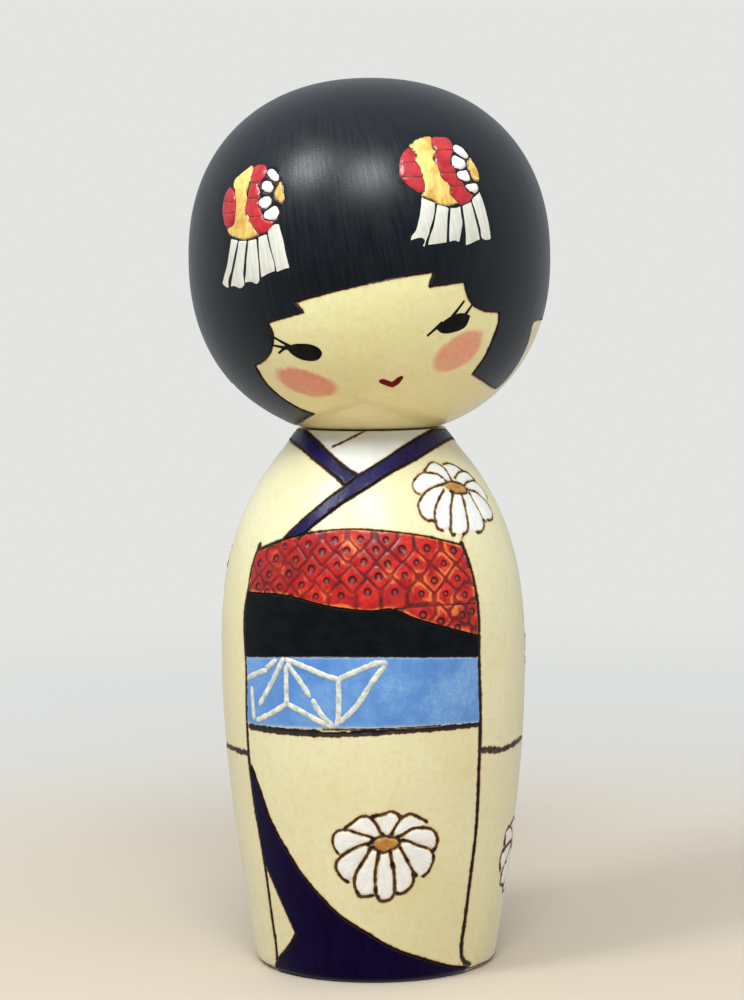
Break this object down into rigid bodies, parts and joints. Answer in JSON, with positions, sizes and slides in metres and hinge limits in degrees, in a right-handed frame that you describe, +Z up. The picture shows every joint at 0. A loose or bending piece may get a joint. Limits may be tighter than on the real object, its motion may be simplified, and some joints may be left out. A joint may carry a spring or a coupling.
{
  "type": "kokeshi doll",
  "caption": "Turned wooden doll: a rounded body and a ball head joined by a hidden peg, painted with a bobbed hairstyle, hair ornaments and a kimono with an obi sash.",
  "frame": {"origin": "centre of the foot, on the plane the doll stands on", "axes": "+Z up along the turning axis; the doll faces -Y, and +X is on the viewer's right when seen from the front"},
  "size_m": [0.0976, 0.0976, 0.24],
  "materials": {
    "body_paint": "cream lacquer over close-grained wood, satin",
    "face_paint": "warm cream lacquer over close-grained wood, satin",
    "bare_wood": "bare turned wood, matt",
    "hair_black": "blue-black brushed lacquer, satin",
    "indigo": "dark indigo lacquer, gloss",
    "red": "red lacquer over burned pattern, satin",
    "obi_black": "black lacquer, satin",
    "obi_blue": "mottled sky-blue paint, satin",
    "relief_cream": "raised cream relief paint, satin",
    "gold": "ochre gold brushed paint, satin",
    "white": "thick white paint, satin",
    "silver": "pale silver brushed paint, satin"
  },
  "bodies": {
    "base": {"body": "body_paint"},
    "head": {"head": "face_paint", "neck_dowel": "bare_wood"}
  },
  "joints": [
    {"name": "head_turn", "type": "hinge", "parent": "base", "child": "head", "pos_m": [0, 0, 0.1461], "axis": [0, 0, 1], "continuous": true}
  ]
}
